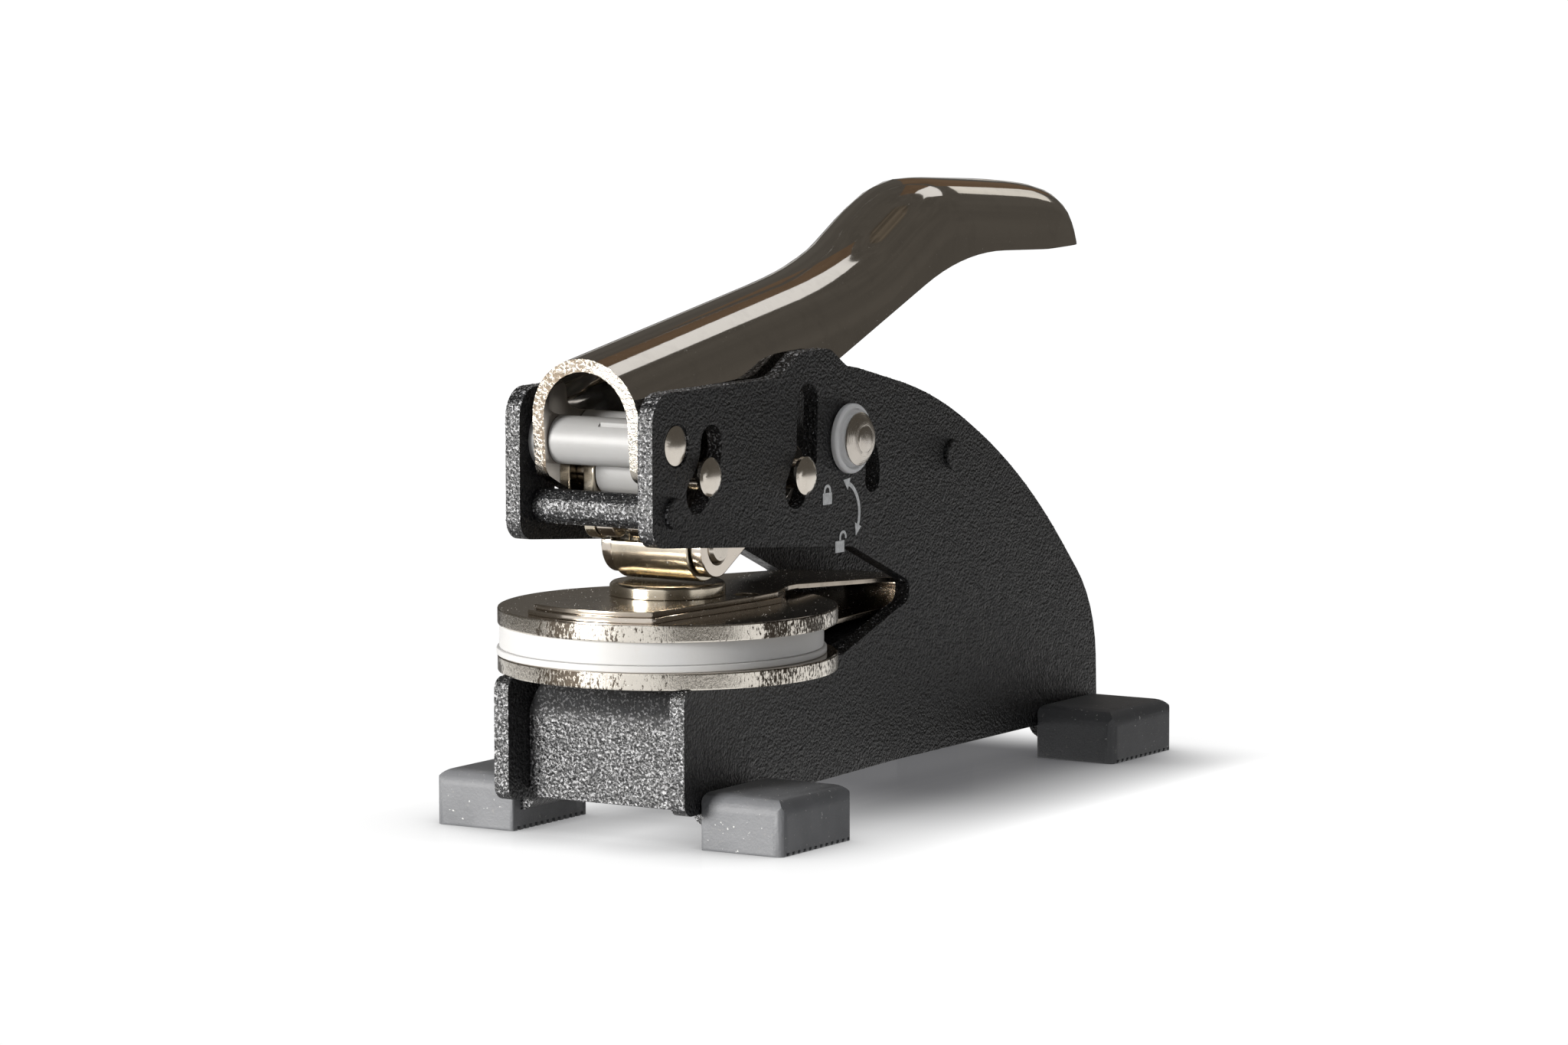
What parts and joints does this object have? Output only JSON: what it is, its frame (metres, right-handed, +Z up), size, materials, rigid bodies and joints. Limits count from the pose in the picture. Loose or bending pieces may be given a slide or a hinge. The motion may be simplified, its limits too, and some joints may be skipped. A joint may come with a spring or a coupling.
{
  "type": "seal embosser",
  "caption": "Desk seal embosser with painted steel side plates, a plated lever handle, a guided press linkage, a lock knob and a pull-out die clip.",
  "frame": {"origin": "on the table, under the centre of the machine's bounding box", "axes": "+X towards the side with the lock knob, -Y towards the open jaw and the die clip, +Z up"},
  "size_m": [0.0726, 0.1602, 0.1105],
  "materials": {
    "painted_steel": "fine textured dark charcoal powder paint",
    "plated_steel": "bright nickel plating over formed steel",
    "white_nylon": "matte white moulded plastic",
    "grey_rubber": "matte grey moulded rubber, grooved sole",
    "spring_steel": "plated spring steel strip"
  },
  "bodies": {
    "frame": {"left_side_plate": "painted_steel", "right_side_plate": "painted_steel", "bed_channel": "painted_steel", "throat_plate": "painted_steel", "front_spacer": "painted_steel", "rear_spacer": "painted_steel", "pivot_pin": "plated_steel", "pivot_washers": "white_nylon", "front_left_foot": "grey_rubber", "front_right_foot": "grey_rubber", "rear_left_foot": "grey_rubber", "rear_right_foot": "grey_rubber"},
    "lever": {"handle": "plated_steel", "pivot_sleeve": "white_nylon", "press_pin": "plated_steel", "press_sleeve": "white_nylon", "bumper_pin": "plated_steel", "bumper_sleeve": "white_nylon"},
    "press_arm": {"left_press_arm": "plated_steel", "right_press_arm": "plated_steel", "left_link": "plated_steel", "right_link": "plated_steel", "spreader_pin": "plated_steel", "spreader_collars": "plated_steel", "guide_pin": "plated_steel", "guide_sleeve": "white_nylon", "shoe_pin": "plated_steel"},
    "shoe": {"press_shoe": "plated_steel"},
    "lock": {"lock_shaft": "plated_steel", "lock_crank": "plated_steel", "lock_cam": "plated_steel", "lock_stud": "plated_steel", "lock_ring": "white_nylon", "lock_knob": "plated_steel"},
    "die_clip": {"lower_disc": "plated_steel", "lower_die": "white_nylon", "lower_leaf": "spring_steel"},
    "upper_die_leaf": {"upper_disc": "plated_steel", "upper_die": "white_nylon", "stiffener_leaf": "plated_steel", "upper_leaf": "spring_steel", "die_boss": "plated_steel"}
  },
  "joints": [
    {"name": "lever_lift", "type": "hinge", "parent": "frame", "child": "lever", "pos_m": [0, -0.0703, 0.0698], "axis": [1, 0, 0], "range_deg": [0, 28]},
    {"name": "arm_swing", "type": "hinge", "parent": "lever", "child": "press_arm", "pos_m": [0, -0.06115, 0.0637], "axis": [1, 0, 0], "range_deg": [-15.4, 0]},
    {"name": "shoe_level", "type": "hinge", "parent": "press_arm", "child": "shoe", "pos_m": [0, -0.0501, 0.0501], "axis": [1, 0, 0], "range_deg": [-12.6, 0]},
    {"name": "lock_turn", "type": "hinge", "parent": "frame", "child": "lock", "pos_m": [0, -0.0125, 0.0598], "axis": [-1, 0, 0], "range_deg": [0, 110]},
    {"name": "clip_slide", "type": "slide", "parent": "frame", "child": "die_clip", "axis": [0, -1, 0], "range_m": [0, 0.11]},
    {"name": "leaf_flex", "type": "hinge", "parent": "die_clip", "child": "upper_die_leaf", "pos_m": [0, 0.027, 0.0353], "axis": [-1, 0, 0], "range_deg": [0, 3.6]}
  ],
  "couplings": [
    {"joint": "arm_swing", "follows": "lever_lift", "ratio": -0.55},
    {"joint": "shoe_level", "follows": "lever_lift", "ratio": -0.45},
    {"joint": "leaf_flex", "follows": "lever_lift", "ratio": 0.125}
  ]
}
